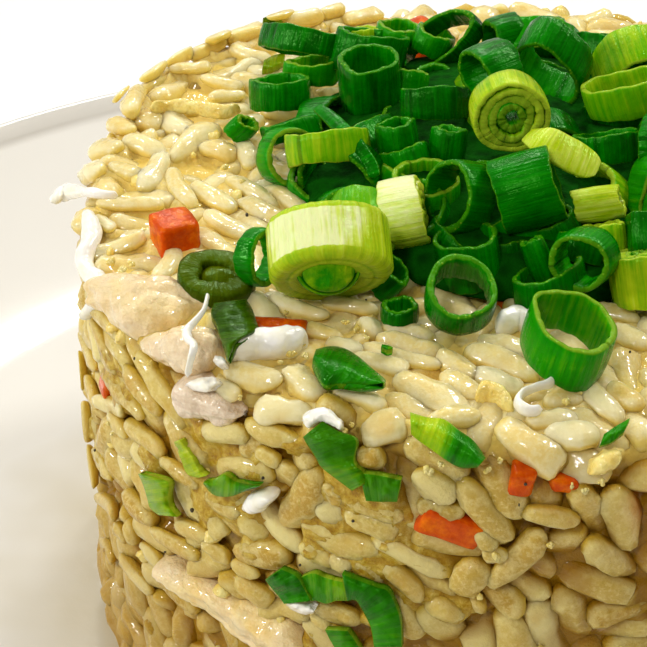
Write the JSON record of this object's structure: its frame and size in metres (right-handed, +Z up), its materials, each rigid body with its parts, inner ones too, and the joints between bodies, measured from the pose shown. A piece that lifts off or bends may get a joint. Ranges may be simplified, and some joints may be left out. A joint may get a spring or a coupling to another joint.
{
  "type": "plate of fried rice",
  "caption": "Round moulded mound of fried rice on a plain white plate, topped with a heap of sliced spring onion.",
  "frame": {"origin": "middle of the plate's foot, on the surface that it stands on", "axes": "+Z up out of the plate, -Y the front of the dish, with the pale stem slice front left"},
  "size_m": [0.22, 0.22, 0.0719],
  "materials": {
    "glaze": "plain white glaze",
    "rice": "cooked grains, translucent, glossy with oil on top",
    "onion_fresh": "raw spring onion leaf, waxy",
    "onion_pale": "pale stem with fine ribs, wet",
    "onion_cooked": "cooked spring onion, oily",
    "carrot": "cooked carrot, wet",
    "chicken": "fibrous cooked chicken",
    "egg_white": "set egg white, smooth and wet",
    "egg_yolk": "set yolk, crumbly"
  },
  "bodies": {
    "root": {"plate": "glaze", "rice": "rice", "scallion_heap": "onion_fresh", "scallion_ring_front": "onion_fresh", "scallion_ring_middle": "onion_fresh", "scallion_ring_left": "onion_fresh", "scallion_stem": "onion_pale", "onion_cooked_ring": "onion_cooked", "onion_cooked_leaf": "onion_cooked", "onion_leaf_rim": "onion_cooked", "onion_bright_rim": "onion_cooked", "onion_front": "onion_cooked", "onion_left": "onion_cooked", "onion_middle": "onion_cooked", "onion_curved": "onion_cooked", "onion_away_1": "onion_cooked", "onion_away_2": "onion_cooked", "onion_away_3": "onion_cooked", "onion_away_4": "onion_cooked", "carrot_top": "carrot", "carrot_by_stem": "carrot", "carrot_shade": "carrot", "carrot_back": "carrot", "carrot_low": "carrot", "carrot_rim": "carrot", "carrot_right": "carrot", "carrot_left": "carrot", "carrot_away_1": "carrot", "carrot_away_2": "carrot", "carrot_away_3": "carrot", "carrot_away_4": "carrot", "chicken_top": "chicken", "chicken_rim": "chicken", "chicken_low": "chicken", "chicken_away_1": "chicken", "chicken_away_2": "chicken", "chicken_away_3": "chicken", "chicken_away_4": "chicken", "egg_white_front": "egg_white", "egg_strip_left": "egg_white", "egg_strip_out": "egg_white", "egg_strand": "egg_white", "egg_flake_right": "egg_white", "egg_strand_right": "egg_white", "egg_flake_front": "egg_white", "egg_lump_low": "egg_white", "egg_yolk_back": "egg_yolk", "egg_yolk_rim": "egg_yolk", "egg_yolk_right": "egg_yolk", "egg_away_1": "egg_white", "egg_away_2": "egg_white", "egg_away_3": "egg_white", "egg_away_4": "egg_white"}
  },
  "joints": []
}
